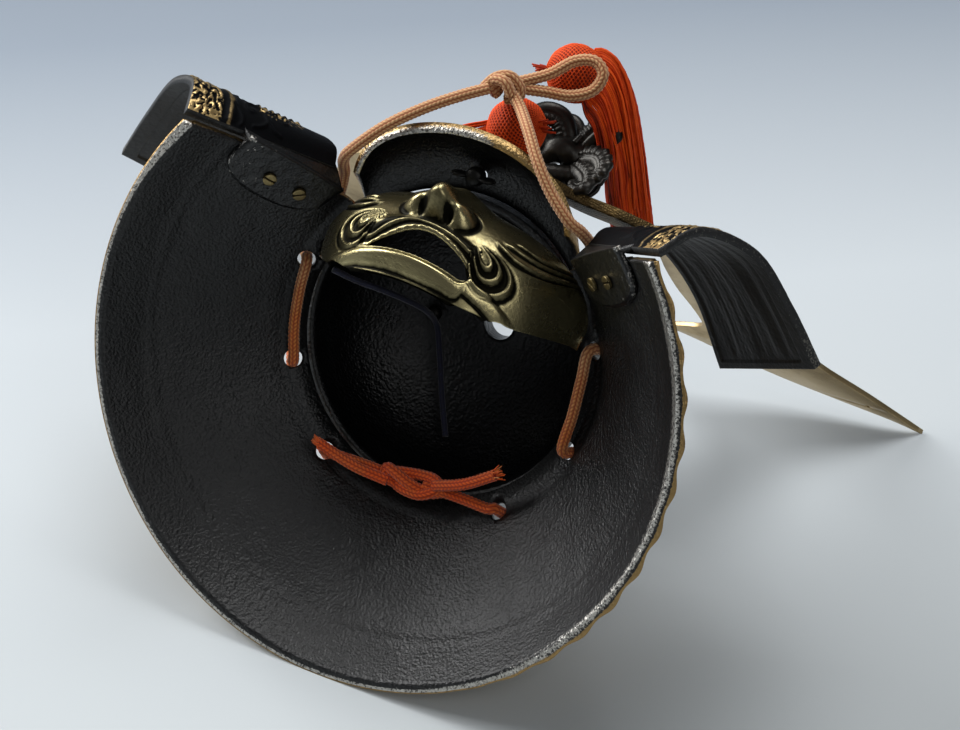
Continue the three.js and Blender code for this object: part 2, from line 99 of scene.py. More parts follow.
def spline(points, count):
    """Evenly spaced points along a smooth curve through the given ones."""
    p = [Vector(q) for q in points]
    p = [2 * p[0] - p[1]] + p + [2 * p[-1] - p[-2]]
    fine = []
    for k in range(1, len(p) - 2):
        for t in np.linspace(0, 1, 24, endpoint=False):
            a, b, c, d = p[k - 1:k + 3]
            fine.append(0.5 * (2 * b + (c - a) * t + (2 * a - 5 * b + 4 * c - d) * t ** 2
                               + (3 * b - a - 3 * c + d) * t ** 3))
    fine.append(p[-2])
    xyz = np.array(fine)
    run = np.concatenate([[0], np.cumsum(np.linalg.norm(np.diff(xyz, axis=0), axis=1))])
    at = np.linspace(0, run[-1], count)
    return [Vector([np.interp(s, run, xyz[:, i]) for i in range(len(xyz[0]))]) for s in at], float(run[-1])


def add_piece(name, data, finish=None, cad=True):
    """Adds a mesh as a smooth piece of the helmet and its material."""
    data.shade_smooth()
    if finish:
        data.materials.append(finish)
    made = in_scene(name, data)
    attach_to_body(made, "root")
    if cad:
        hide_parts(name)
    return made


def piece(name, points, faces, slot=None, finish=None, cad=True, place=HELM, **paint):
    """A mesh object from points in millimetres, which stands for the CAD node of its name if cad is true. paint
    holds a value for each point, for its material to read."""
    data = bpy.data.meshes.new(name)
    data.from_pydata([place @ Vector(p) for p in points], [], faces)
    data.validate()
    for key, values in paint.items():
        layer = data.attributes.new(key, "FLOAT", "POINT")
        layer.data.foreach_set("value", [float(v) for v in values])
    return add_piece(name, data, finish, cad)


def ring_faces(rings, sides, start=0, closed=False):
    """Faces between rings of points that follow one another. The last ring meets the first if closed is true."""
    faces = []
    for k in range(rings if closed else rings - 1):
        for m in range(sides):
            n = (m + 1) % sides
            a, b = start + k * sides, start + (k + 1) % rings * sides
            faces.append((a + m, a + n, b + n, b + m))
    return faces


def tube(path, radius, sides, points, faces, facing=(0.3, 0.5, 0.8)):
    """Adds a closed tube to the two lists, and gives the number of its points. radius is a number, or a function
    of the run along it in millimetres, the angle round it and its share of the whole length."""
    xyz = np.array(path, float)
    along = np.gradient(xyz, axis=0)
    along /= np.linalg.norm(along, axis=1, keepdims=True)
    side = np.cross(along[0], facing)
    run, start, last = 0, len(points), len(xyz) - 1
    for k, (p, t) in enumerate(zip(xyz, along)):
        if k:
            run += np.linalg.norm(p - xyz[k - 1])
        side = side - t * np.dot(side, t)
        side /= np.linalg.norm(side)
        other = np.cross(t, side)
        for m in range(sides):
            a = 2 * math.pi * m / sides
            r = radius(run, a, k / last) if callable(radius) else radius
            points.append(p + (side * math.cos(a) + other * math.sin(a)) * r)
    faces += ring_faces(len(xyz), sides, start)
    faces.append(tuple(start + m for m in reversed(range(sides))))
    faces.append(tuple(start + last * sides + m for m in range(sides)))
    return len(xyz) * sides


def node(of, kind, settings=None, **links):
    """A shader node with its settings, as the one output that is used of its kind. A link's key is the socket's
    name, with _ for a space, or its number."""
    tree = of.node_tree
    made = tree.nodes.new("ShaderNode" + kind)
    for key, value in (settings or {}).items():
        if key == "ramp":
            for k, (at, colour) in enumerate(value):
                stop = made.color_ramp.elements[k] if k < 2 else made.color_ramp.elements.new(at)
                stop.position = at
                stop.color = linear(colour)
        else:
            setattr(made, key, value)
    for key, value in links.items():
        socket = made.inputs[int(key[1:]) if key[1:].isdigit() else key.replace("_", " ")]
        if isinstance(value, bpy.types.NodeSocket):
            tree.links.new(value, socket)
        else:
            socket.default_value = value
    used = {"TexCoord": "Object", "Attribute": "Fac", "VectorMath": "Value", "Mix": 2}
    return made.outputs[used.get(kind, 0)]


def material(name, **constants):
    """A new material with its shader: constants are the shader's own values."""
    made = bpy.data.materials.new(name)
    made.use_nodes = True
    shader = made.node_tree.nodes["Principled BSDF"]
    for key, value in constants.items():
        shader.inputs[key.replace("_", " ")].default_value = value
    return made, shader


def attach(of, shader, **links):
    for key, socket in links.items():
        of.node_tree.links.new(socket, shader.inputs[key.replace("_", " ")])


def side_route(side):
    front, middle, rear = [lambda t, h=h: polar(side * h[0], h[1] + 5 * t, h[2] + 8 * t) for h in HOLES]
    return [rear(-0.45), rear(0.6), rear(1.25), polar(side * 133, 89.5, 79.5), polar(side * 121, 89.5, 79.5),
            middle(1.25), middle(0.6), middle(-0.45), (side * 75.5, 8, 64.6), (side * 76, -10, 64.6),
            front(-0.45), front(0.6), front(1.25), polar(side * 64, 89, 80), polar(side * 56, 88.5, 79)]


def braid(columns, stitch, depth, radius):
    """Radius of a round braid: columns of short stitches that lean by turns one way and the other."""
    def at(run, angle, _):
        place = columns * (angle % (2 * math.pi)) / (2 * math.pi)
        column = math.floor(place)
        x = place - column - 0.5
        lean = 1 if column % 2 else -1
        y = run / stitch + 0.8 * lean * x + 0.25 * lean
        loft = math.sqrt(max(math.cos(math.pi * x), 0)) * (0.3 + 0.7 * (0.5 + 0.5 * math.cos(2 * math.pi * y)))
        return radius * (1 - depth + depth * loft)
    return at


# Cotton braid: soft and without gloss, with a short nap that lights up at its edges.
braid_mat, braid_shader = material("cotton braid, faded orange", Roughness=0.85, Sheen_Weight=0.25,
                                   Sheen_Roughness=0.5)
where = node(braid_mat, "TexCoord")
# deep is painted shade: where the braid sinks between its stitches, its colour is multiplied toward brown
fade = node(braid_mat, "Attribute", {"attribute_name": "fade"})
deep = node(braid_mat, "Attribute", {"attribute_name": "deep"})
patch = node(braid_mat, "TexNoise", Vector=where, Scale=90, Detail=3)
aged = node(braid_mat, "Math", {"operation": "MULTIPLY_ADD"}, _0=patch, _1=0.55, _2=fade)
dye = node(braid_mat, "ValToRGB", {"ramp": [(0.25, "#f4640c"), (0.95, "#dcb07c"), (0.6, "#d6863c")]}, Fac=aged)
hair = node(braid_mat, "TexNoise", Vector=where, Scale=2600, Detail=4)
dark = node(braid_mat, "Mix", {"data_type": "RGBA", "blend_type": "MULTIPLY"}, Factor=deep,
            _6=dye, _7=linear("#a2592c"))
fluff = node(braid_mat, "Bump", Height=hair, Strength=0.35, Distance=0.0002)
attach(braid_mat, braid_shader, Base_Color=dark, Normal=fluff)


def sunk(pattern, run, m, sides, radius):
    """How deep the braid's m-th point round lies between its stitches, from 0 to 1; it sets the painted shade
    between the stitches.
    """
    return min(max((1.03 - pattern(run, 2 * math.pi * m / sides, 0) / radius) / 0.16, 0), 1)


BRAID_SIDES, BRAID_STEP = 32, 0.42  # points round the thick braid, and millimetres between its rings


def cord(name, route, radius, slot_name, mat, pattern, fade=lambda t, p: 0.7, sides=BRAID_SIDES,
         step=BRAID_STEP):
    """A braided cord along its route, with its rings spaced along its real length."""
    length = spline(route, 10)[1]
    path, _ = spline(route, max(12, int(length / step)))
    points, faces, shades, hollows = [], [], [], []
    tube(path, pattern, sides, points, faces)
    for k, p in enumerate(path):
        share = k / (len(path) - 1)
        for m in range(sides):
            shades.append(fade(share, p))
            # painted shade between the stitches
            hollows.append(sunk(pattern, k * length / (len(path) - 1), m, sides, radius))
    made = piece(name, points, faces, slot_name, mat, fade=shades, deep=hollows)


chin = braid(8, 2.1, 0.18, CORD_R * 1.05)
LEFT = [(9, 66, 64), (30, 66, 64), (43, 66.5, 64), *side_route(1), (69, -61, 75), (65.5, -72, 68),
        (62.5, -79, 59), (57, -84, 53), (46, -95, 51.5), (36, -107, 53), (26, -117, 61), (15, -123.5, 74),
        (8, -128, 79)]
RIGHT = [(3, 67, 64), (-24, 66, 64), (-41, 66, 63.5), *side_route(-1), (-69, -61, 75), (-65.5, -72, 68),
         (-62.5, -80, 58.5), (-57, -87, 53.5), (-42.6, -102, 54), (-28, -114, 62), (-14, -123, 69),
         (-3, -129, 75)]
BOW = [(8, -131, 84), (20, -132, 88), (31, -132.5, 92), (40, -137, 96), (42.5, -145, 98.5), (37, -150, 99),
       (28, -148, 96.5), (19, -140, 91), (8, -134, 84)]


def side_fade(t, p):  # bright where the guard shaded it, faded toward the bow
    return 0.05 if p.y > 40 else mix(0.25, 0.75, ramp(-p.y, -40, 70))


cord("chin_cord_left", LEFT, CORD_R, "salmon_braid", braid_mat, chin, side_fade)
cord("chin_cord_right", RIGHT, CORD_R, "salmon_braid", braid_mat, chin, side_fade)
cord("chin_cord_loop", BOW, CORD_R, "salmon_braid", braid_mat, chin)
for label, route in (("left", [(16, 63, 60.5), (32, 56, 57.5), (47, 46, 57)]),
                     ("right", [(-8, 68, 59), (-26, 65, 55.5), (-46, 60, 55.5)])):
    cord(f"back_cord_end_{label}", route, CORD_R, "salmon_braid", braid_mat, chin,
         lambda t, p: 0)

# Frayed ends: the back cord was cut with a blade and left unwhipped, so at both ends the cotton has come
# apart into short loose fibres of the same faded dye.
rng = random.Random(4)
points, faces, shades = [], [], []
for end, away in (((47, 46, 57), (15, -10, -0.5)), ((-46, 60, 55.5), (-20, -5, 0))):
    along = Vector(away).normalized()
    side = along.orthogonal().normalized()
    for k in range(26):
        a, r = rng.uniform(0, 2 * math.pi), CORD_R * math.sqrt(rng.uniform(0, 1)) * 0.9
        out = side * math.cos(a) + along.cross(side) * math.sin(a)
        start = Vector(end) + out * r
        tip = start + (along + out * rng.uniform(0, 0.7) * r / CORD_R) * rng.uniform(1.6, 4)
        count = tube(spline([start - along, start, tip], 7)[0], lambda run, a, t: mix(0.42, 0.2, t), 6,
                     points, faces)
        shades += [rng.uniform(-0.2, 0.3)] * count
# deep of 0.1 gives the loose fibres a little painted shade
piece("back_cord_fray", points, faces, "salmon_braid", braid_mat, False, fade=shades, deep=[0.1] * len(points))

# Mask cord: a thin round braid of navy rayon that holds the half mask. It runs from the mask's right end over
# the stud and hangs down inside the bowl.
navy_mat, navy_shader = material("navy rayon braid", Roughness=0.7, Sheen_Weight=0.3)
twill = node(navy_mat, "TexNoise", Vector=node(navy_mat, "TexCoord"), Scale=1800, Detail=2)
navy = node(navy_mat, "ValToRGB", {"ramp": [(0.35, "#05060f"), (0.7, "#161a40")]}, Fac=twill)
attach(navy_mat, navy_shader, Base_Color=navy)
MASK_CORD = [(-61, -24, 66), (-50, -20, 73), (-38, -16, 84), (-28, -7, 106), (-26, 4, 124), (-22, 18, 126),
             (-14, 38, 121), (-4, 56, 112.5)]
cord("mask_cord", MASK_CORD, NAVY_R, "navy_braid", navy_mat,
     braid(6, 1.4, 0.22, NAVY_R * 1.05), sides=18, step=0.35)

# Black lacquer: brushed by hand over a sand casting, so the grain of the sand shows through as a fine
# leathery skin with broken highlights. Where the rim was ground flat the bare metal shows, pitted and silvery.
def lacquer(name, grain=460, rough=0.33, tone="#040505", strength=0.95, bare_low="#4c4944", bare_high="#c9c6bf"):
    made, shader = material(name, Specular_IOR_Level=0.5)
    where = node(made, "TexCoord")
    coarse = node(made, "TexNoise", Vector=where, Scale=grain, Detail=5, Roughness=0.62)
    cells = node(made, "TexVoronoi", {"feature": "SMOOTH_F1"}, Vector=where, Scale=grain * 1.7,
                 Smoothness=0.6)
    broad = node(made, "TexNoise", Vector=where, Scale=14, Detail=4)
    skin = node(made, "Math", {"operation": "MULTIPLY_ADD"}, _0=cells, _1=0.5, _2=coarse)
    bare = node(made, "Attribute", {"attribute_name": "bare"})
    pits = node(made, "TexNoise", Vector=where, Scale=900, Detail=5, Roughness=0.7)
    ragged = node(made, "Math", {"operation": "MULTIPLY_ADD"}, _0=pits, _1=1.4, _2=-0.7)
    edge = node(made, "Math", _0=bare, _1=ragged)
    worn = node(made, "MapRange", Value=edge, From_Min=0.42, From_Max=0.58)
    metal = node(made, "ValToRGB", {"ramp": [(0.4, bare_low), (0.5, bare_high)]}, Fac=pits)
    dust = node(made, "Mix", {"data_type": "RGBA"}, Factor=broad, _6=linear(tone), _7=linear("#08090a"))
    colour = node(made, "Mix", {"data_type": "RGBA"}, Factor=worn, _6=dust, _7=metal)
    shine = node(made, "MapRange", Value=broad, From_Min=0.3, From_Max=0.7, To_Min=rough - 0.05,
                 To_Max=rough + 0.12)
    rougher = node(made, "MapRange", Value=worn, To_Min=0, To_Max=0.03)
    total = node(made, "Math", _0=shine, _1=rougher)
    relief = node(made, "Bump", Height=skin, Strength=strength, Distance=0.0006)
    gilt = node(made, "Attribute", {"attribute_name": "gilt"})
    leaf = node(made, "MapRange", Value=node(made, "Math", _0=gilt, _1=ragged),
                From_Min=0.4, From_Max=0.6)
    brassy = node(made, "Mix", {"data_type": "RGBA"}, Factor=leaf, _6=colour, _7=linear("#a3875a"))
    metallic = node(made, "Math", {"operation": "MAXIMUM"}, _0=worn, _1=leaf)
    attach(made, shader, Base_Color=brassy, Metallic=metallic, Roughness=total, Normal=relief)
    return made


# Neck guard: one flared iron casting. Inside it is plain black lacquer with a raised bead of metal left along
# the ground rim; outside it imitates laced plates, each overlapping the next, with scalloped lower edges.
RIM_IN, RIM_OUT = 145, 149.5
LOBE = 8  # degrees from one scallop of the plates to the next
CREASE, SHOULDER, SEAT = (131, 20), (84, 67), (73, 73)


def bump(x, y, cx, cy, sx, sy):
    return math.exp(-((x - cx) / sx) ** 2 - ((y - cy) / sy) ** 2)


def wall_faces(rows, cols, start=0):
    """Faces of a closed wall whose front grid of points comes before its back grid."""
    def f(i, j):
        return start + i * cols + j

    def b(i, j):
        return f(i, j) + rows * cols
    faces = []
    for i in range(rows - 1):
        for j in range(cols - 1):
            faces.append((f(i, j), f(i + 1, j), f(i + 1, j + 1), f(i, j + 1)))
            faces.append((b(i, j), b(i, j + 1), b(i + 1, j + 1), b(i + 1, j)))
        faces.append((f(i, 0), b(i, 0), b(i + 1, 0), f(i + 1, 0)))
        faces.append((f(i, cols - 1), f(i + 1, cols - 1), b(i + 1, cols - 1), b(i, cols - 1)))
    for j in range(cols - 1):
        faces.append((f(0, j), f(0, j + 1), b(0, j + 1), b(0, j)))
        faces.append((f(rows - 1, j), b(rows - 1, j), b(rows - 1, j + 1), f(rows - 1, j + 1)))
    return faces


def wall(name, front, back, *kept, **paint):
    """A piece from two grids of points that are joined round their edges."""
    return piece(name, sum(front, []) + sum(back, []), wall_faces(len(front), len(front[0])), *kept, **paint)


def guard_inner(s):  # 0 at the rim, 1 at the bowl's seat
    spans = [(0, (RIM_IN, 0)), (0.2, CREASE), (0.85, SHOULDER), (1, SEAT)]
    for (s0, a), (s1, b) in zip(spans, spans[1:]):
        if s <= s1:
            t = (s - s0) / (s1 - s0)
            return mix(a[0], b[0], t), mix(a[1], b[1], t)


def scallops(angle):
    return math.cos((angle - 180) / LOBE * 2 * math.pi)


def guard_outer(s, angle):
    r, z = guard_inner(s)
    lame = (1 - s / 0.85) * 3
    saw = lame - math.floor(lame - 1e-6) if s < 0.85 else 0
    lobe = 0.5 + 0.5 * scallops(angle)
    out = 3.4 + 1.8 * saw * saw * (0.6 + 0.4 * lobe)
    slope = 0.6 if s < 0.2 else 0.74
    return r + out * slope, z + out * math.sqrt(1 - slope * slope)


def front_edge(r):
    return 45.5 + (r - SHOULDER[0]) * 0.108


def left_end(angle):  # 1 toward the wearer's left end of the rim, where more of its metal shows
    return 1 - ramp(angle, 110, 165)


STEPS = 420
FLAT = (0, 0.25, 0.5, 0.75, 1)  # stations across the ground flat, from its outer edge to its inner edge
stations = sorted([0.012, 0.03, 0.05, 0.17, 0.19, 0.2, 0.21, 0.23, 0.835, 0.85, 0.865, 1]
                  + [0.85 * k / 3 + d for k in (1, 2) for d in (-0.016, -0.004, 0.004, 0.016)]
                  + list(np.linspace(0.08, 0.8, 22)))
inner, outer, bare_in, gilt_in = [], [], [], []
for i in range(STEPS + 1):
    inner.append([])
    outer.append([])
    for t in FLAT:
        r = mix(RIM_OUT, RIM_IN, t)
        angle = mix(front_edge(r), 360 - front_edge(r), i / STEPS)
        near_left = left_end(angle)  # here the ground flat is wide and its outer edge shows brass
        corner = ramp(angle, 285, 306)
        worn_to = mix(mix(0.4, 1, corner), 1, near_left)
        bright = 0.98 - 0.9 * ramp(t, worn_to - 0.1, worn_to + 0.2)
        scallop = 0.9 * scallops(angle) * (1 - ramp(t, 0, 0.5)) * near_left
        inner[i].append(polar(angle, r + scallop, 0))
        outer[i].append(polar(angle, *(guard_outer(0.012 * t, angle) if t else (RIM_OUT + scallop, 0))))
        bare_in.append(mix(bright, 0.28 if t < 0.6 else 0.56, near_left))
        gilt_in.append(near_left * (1.1 if t < 0.3 else 0))
    for s in stations:
        r, z = guard_inner(s)
        front = front_edge(r)
        angle = mix(front, 360 - front, i / STEPS)
        soft = 0.5 * bump(s, 0, 0.2, 0, 0.02, 1) - 0.5 * bump(s, 0, 0.85, 0, 0.03, 1)
        wave = 0.35 * noise.noise(Vector((angle * 0.13, s * 9, 2)))
        inner[i].append(polar(angle, r - (soft + wave) * 0.7, z - (soft + wave) * 0.7))
        outer[i].append(polar(angle, *guard_outer(s, angle)))
        near_left = left_end(angle)
        front_end = 1 - ramp(angle, 60, 120)
        worn_off = 1 - ramp(s, 0.012 + 0.03 * front_end, 0.04 + 0.05 * front_end)
        bare_in.append((0.12 + 0.4 * near_left) * worn_off)
        gilt_in.append(0)
guard_mat = lacquer("black lacquer over cast iron, ground rim")
guard = wall("neck_guard", outer, inner, "black_lacquered_iron", guard_mat,
             bare=[0] * len(bare_in) + bare_in, gilt=[1] * len(gilt_in) + gilt_in)


def as_shown(of):
    """The mesh of an object as it shows, with its modifiers applied."""
    return bpy.data.meshes.new_from_object(of.evaluated_get(bpy.context.evaluated_depsgraph_get()))


def bore(target, tools):
    """Drills round holes: each tool is (from, to, radius) in millimetres. The drill is then thrown away."""
    points, faces = [], []
    for a, b, radius in tools:
        tube(spline([a, b], 2)[0], radius, 24, points, faces)
    drill = piece("drill", points, faces, cad=False)
    cutter = target.modifiers.new("bore", "BOOLEAN")
    cutter.operation = "DIFFERENCE"
    cutter.solver = "EXACT"
    cutter.object = drill
    target.data = as_shown(target)
    target.modifiers.clear()
    bpy.data.objects.remove(drill)


bore(guard, [(polar(side * a, r - 5, z - 8), polar(side * a, r + 7, z + 11.2), 4.6)
             for a, r, z in HOLES for side in (1, -1)])

# Bowl: a dome of cast iron under the same black lacquer, seated in the guard's inner rim. It is open below and
# has a raised ring outside, round the crown hole.
PROFILE = [(72.5, 77.8), (72.5, 92), (69.5, 105), (63, 117), (51.5, 128.5), (36.5, 137.5), (20, 142.5),
           (8.5, 143.5), (8.5, 155), (16, 155), (19, 151), (23, 147.5), (38.5, 141.5), (55, 132), (66.5, 120),
           (73.2, 106.5), (76, 92), (76, 77.8)]
rings = [(72.5, 77.8), (72.6, 79.2), (71.9, 80), (72.5, 81)] + [tuple(p)[:2] for p in spline(PROFILE[1:8], 60)[0]]
rings += [(8.5, 145), (8.5, 154.4), (9.1, 155), (15.4, 155), (16, 154.4), (19, 151)]
rings += [tuple(p)[:2] for p in spline(PROFILE[11:], 50)[0]]
AROUND = 200
points = [polar(360 * m / AROUND, r, z) for r, z in rings for m in range(AROUND)]
piece("bowl", points, ring_faces(len(rings), AROUND, closed=True), "black_lacquered_iron",
      lacquer("black lacquer over the cast bowl", grain=380, rough=0.32, strength=1.1))

# Visor: an arched iron plate riveted at the brow, lacquered below, with a thick rolled rim whose lower face is
# ground bare and whose outer face is brass.
def normals(grid):
    """Unit normals of a grid of points."""
    p = np.array(grid, float)
    n = np.cross(np.gradient(p, axis=0), np.gradient(p, axis=1))
    return n / np.maximum(np.linalg.norm(n, axis=2, keepdims=True), 1e-9)


def visor_point(u, v):
    a = mix(-1, 1, u)
    top = polar(a * 46, 77.8, 86 - 3 * a * a)
    t = a * math.pi / 2
    rim = Vector((57 * math.sin(t), -70 - 42 * math.cos(t) - 5 * abs(math.sin(t)) ** 3, 60))
    arch = 6 * math.sin(math.pi * v) * math.cos(t * 0.7)
    swell = 2 * math.sin(math.pi * v) * math.sin(t)
    return top.lerp(rim, v) + Vector((swell, -arch * 0.4, arch))


ARCH = 140  # steps along the visor's arch
rows = list(np.linspace(0, 0.9, 30)) + [0.93, 0.95, 0.965, 0.975, 0.985, 0.993, 1]
arch = [i / ARCH for i in range(ARCH + 1)]
over = [[visor_point(u, v) for v in rows] for u in arch]
thick = [[mix(3.2, mix(5.4, 3.2, abs(2 * u - 1) ** 4), ramp(v, 0.8, 1)) for v in rows] for u in arch]
under = [[Vector(p) + Vector(n) * t for p, n, t in zip(*row)] for row in zip(over, normals(over), thick)]
bare = [(0.75 if v == 1 else 0) * (1 - ramp(u, 0.52, 0.66)) for u in arch for v in rows] * 2
edge_gilt = [0.85 * ramp(u, 0.5, 0.62) * (v == 1) for u in arch for v in rows]
visor = wall("visor", under, over, "black_lacquered_iron",
             lacquer("black lacquer under the visor", rough=0.3, bare_low="#4a453c"),
             bare=bare, gilt=edge_gilt + [max(g, 0.8) for g in edge_gilt])
bore(visor, [((0, -87, 60), (0, -87, 100), 2.8)])

# Brass: cast or sawn, then gilded or rubbed, and left to darken for years. The patina stays in the hollows, and
# the high places are bright and smoother.
def brass(name, high, low, rough=0.34, grain=380, relief=0.3, dark=0.5, metallic=1.0):
    made, shader = material(name, Metallic=metallic)
    where = node(made, "TexCoord")
    fine = node(made, "TexNoise", Vector=where, Scale=grain, Detail=6, Roughness=0.65)
    broad = node(made, "TexNoise", Vector=where, Scale=32, Detail=5)
    hollow = node(made, "Attribute", {"attribute_name": "hollow"})
    grime = node(made, "Math", {"operation": "MULTIPLY_ADD"}, _0=broad, _1=0.9, _2=hollow)
    grime = node(made, "Math", {"operation": "MULTIPLY_ADD"}, _0=fine, _1=0.35, _2=grime)
    tone = node(made, "ValToRGB", {"ramp": [(dark, high), (dark + 0.4, low)]}, Fac=grime)
    gloss = node(made, "MapRange", Value=grime, From_Min=0.4, From_Max=1.2, To_Min=rough, To_Max=rough + 0.3)
    skin = node(made, "Bump", Height=fine, Strength=relief, Distance=0.0004)
    attach(made, shader, Base_Color=tone, Roughness=gloss, Normal=skin)
    return made


# Crest holder: a gilt boss on the brow with an arm to each side. Its face is struck all over with a fine ring
# punch, and each arm ends in a socket for a horn.
LEAN = math.radians(34.5)
PLANE = HELM @ Matrix.Translation((0, -90, 100)) @ Matrix.Rotation(math.pi / 2 - LEAN, 4, "X")


def plate(name, outline, thickness, bevel, mat):
    """A flat plate with softened edges."""
    curve = bpy.data.curves.new(name, "CURVE")
    curve.dimensions = "2D"
    curve.fill_mode = "BOTH"
    curve.extrude = thickness / 2 - bevel
    curve.bevel_depth = bevel
    curve.offset = -bevel
    curve.bevel_resolution = 2
    line = curve.splines.new("POLY")
    line.points.add(len(outline) - 1)
    for point, (x, y) in zip(line.points, outline):
        point.co = (x, y, 0, 1)
    line.use_cyclic_u = True
    flat = in_scene(name, curve)
    data = as_shown(flat)
    bpy.data.objects.remove(flat)
    clean = bmesh.new()
    clean.from_mesh(data)
    bmesh.ops.remove_doubles(clean, verts=clean.verts, dist=0.01)
    clean.to_mesh(data)
    data.transform(PLANE)
    made = add_piece(name, data, mat)
    made.modifiers.new("edges", "EDGE_SPLIT").split_angle = math.radians(35)
    return made


def outline(*runs):
    """One closed outline from smooth runs of (x, y) points that meet end to end."""
    whole = []
    for points, count in runs:
        line = [tuple(p)[:2] for p in spline([(x, y, 0) for x, y in points], count)[0]]
        whole += line if not whole else line[1:]
    return whole


nanako, nanako_shader = material("gilt bronze, ring punched", Metallic=1.0)
where = node(nanako, "TexCoord")
dots = node(nanako, "TexVoronoi", Vector=where, Scale=900, Randomness=0.35)
wear = node(nanako, "TexNoise", Vector=where, Scale=60, Detail=5)
tone = node(nanako, "ValToRGB", {"ramp": [(0.35, "#75603c"), (0.65, "#332a1d")]}, Fac=wear)
skin = node(nanako, "Bump", {"invert": True}, Height=dots, Strength=0.8, Distance=0.0005)
attach(nanako, nanako_shader, Base_Color=tone, Normal=skin)
nanako_shader.inputs["Roughness"].default_value = 0.42
HIGH_ARM = [(0, 6), (20, 12), (38, 24), (58, 30), (76, 38)]
LOW_ARM = [(76, 26), (58, 18), (38, 12), (20, -2), (0, -7)]
half = outline((HIGH_ARM, 24), ([HIGH_ARM[-1], LOW_ARM[0]], 2), (LOW_ARM, 24))
both = half[:-1] + [(-x, y) for x, y in reversed(half[1:-1])]
plate("crest_holder", both, 5.4, 0.8, nanako)

# Horns: each is one piece of aged brass plate, sawn to a flaring blade with a long outer tip and a short inner
# tip, drilled near the end and pushed into the holder's socket.
gold = brass("aged brass plate", "#b09a72", "#6a583a", rough=0.3, grain=260, relief=0.12, dark=0.62)
TIP = (203, 197.4)
OUTER = [(71, 27), (80, 32), (90, 38), (106, 58), (122, 90), (138, 122), (152, 145), (176, 168), TIP]
TOP = [TIP, (186, 190.5), (156, 184), (124, 176), (93, 164), (76, 156.5), (62, 152)]
INNER = [(62, 152), (74, 144), (84, 138), (87, 130), (84, 112), (79, 92), (76, 70), (75, 50), (72, 36)]
blade = outline((OUTER, 60), (TOP, 40), (INNER, 50))
SIDES = (("left", 1), ("right", -1))
for label, sign in SIDES:
    shape = [(sign * x, y) for x, y in blade]
    horn = plate(f"horn_{label}", shape, 2.8, 0.35, gold)
    eye = HELM.inverted() @ (PLANE @ Vector((sign * 174, 180, 0)))
    lean = (HELM.inverted() @ PLANE).to_3x3() @ Vector((0, 0, 1))
    horn.modifiers.clear()
    bore(horn, [(eye - lean * 5, eye + lean * 5, 1.6)])

# Wing nut: cast bronze with a black patina and two round ears. It is run up the bolt that holds the crest
# holder's boss to the visor.
bronze = brass("black bronze", "#34322e", "#0a0a0a", rough=0.3, grain=500, relief=0.4, dark=0.4, metallic=0.7)
points, faces = [], []
tube(spline([(0, -87, 68.6), (0, -87, 77)], 8)[0], lambda run, a, t: 4.8 - 1.4 * abs(2 * t - 1) ** 3, 20,
     points, faces)
EAR_TALL, EAR_ROUND = 8, 16
for side in (1, -1):
    faces += ring_faces(EAR_TALL + 1, EAR_ROUND, len(points))
    for m in range(EAR_TALL + 1):
        for n in range(EAR_ROUND):
            a, b = math.pi * m / EAR_TALL, 2 * math.pi * n / EAR_ROUND
            points.append(Vector((side * (7 + 4.6 * math.sin(a) * math.cos(b)), -87 + 1.5 * math.cos(a),
                                  70.5 + 4.4 * math.sin(a) * math.sin(b))))
piece("visor_wing_nut", points, faces, "black_bronze", bronze)

# Turned back flaps: each is a wing that curls outward in front of the guard, cast in gilt bronze with a scroll
# in relief on its outer face, and fixed by a tab inside the guard with two slotted screws.
LOW_END = [(118.6, -94.5, 1), (129, -104, 20), (150, -97, 38), (168, -75, 50), (184, -51, 60)]
HIGH_END = [(68, -73.5, 60.5), (73, -81.5, 67), (92, -80, 80), (112, -58, 95), (130, -25, 105)]
COLS, ROWS = 200, 140
FLAP_LONG, FLAP_WIDE = 110, 75
low, high = spline(LOW_END, COLS + 1)[0], spline(HIGH_END, COLS + 1)[0]


def sided(p, sign):
    """A point on the wearer's left, or with sign -1 its mirror image on the right."""
    return Vector((sign * p[0], p[1], p[2]))


def ring(x, at, width):
    return math.exp(-((x - at) / width) ** 2)


def flap_relief(u, v):
    """Height of the outer face's relief and how dark it is: leaves, a plain band, stems, then a beaded ridge."""
    grain = noise.noise(Vector((u * 40, v * 44, 3))) + 0.5 * noise.noise(Vector((u * 90, v * 100, 7)))
    leaves = 1 - ramp(v, 0.19, 0.23)
    h = leaves * (0.5 + 0.9 * grain + 0.25 * math.sin(u * 60 + 4 * math.sin(v * 26)))
    dark = 0.55 - leaves * min(max(0.45 + 2.2 * grain + 0.5 * (1 - ramp(u, 0.03, 0.1)), 0), 1.3)
    band = ring(v, 0.265, 0.028)
    stem = ring(v - 0.32 - 0.03 * math.sin(u * 30), 0, 0.012)
    stems = ramp(v, 0.3, 0.34) * (1 - ramp(v, 0.84, 0.9))
    for k in range(10):
        x, y = (u - 0.14 - 0.26 * (k // 2)) * FLAP_LONG, (v - 0.42 - 0.2 * (k % 2)) * FLAP_WIDE
        r, a = math.hypot(x, y), math.atan2(y, x)
        stem = max(stem, stems * ring(r - 6 - 1.4 * a * (-1) ** k, 0, 1.1), ring(r, 0, 2))
    bead = 0.5 + 0.5 * math.cos(2 * math.pi * v * 20)
    ridge = bead * ring(u, 0.235, 0.022) * ramp(v, 0.46, 0.5) * (1 - ramp(v, 0.8, 0.84))
    h += 1.3 * band + 0.9 * stem + 1.3 * ridge
    rubbed = ramp(v, 0.44, 0.5) * (1 - ramp(v, 0.78, 0.84)) * ring(u, 0.2, 0.06)
    dark -= 0.62 * band + 0.18 * stem + rubbed * max(0.15 + 2.4 * grain + 0.5 * ridge, 0)
    return h * ramp(min(u * 1.5, 1 - u), 0.01, 0.05) * ramp(min(v, 1 - v), -0.01, 0.04), dark


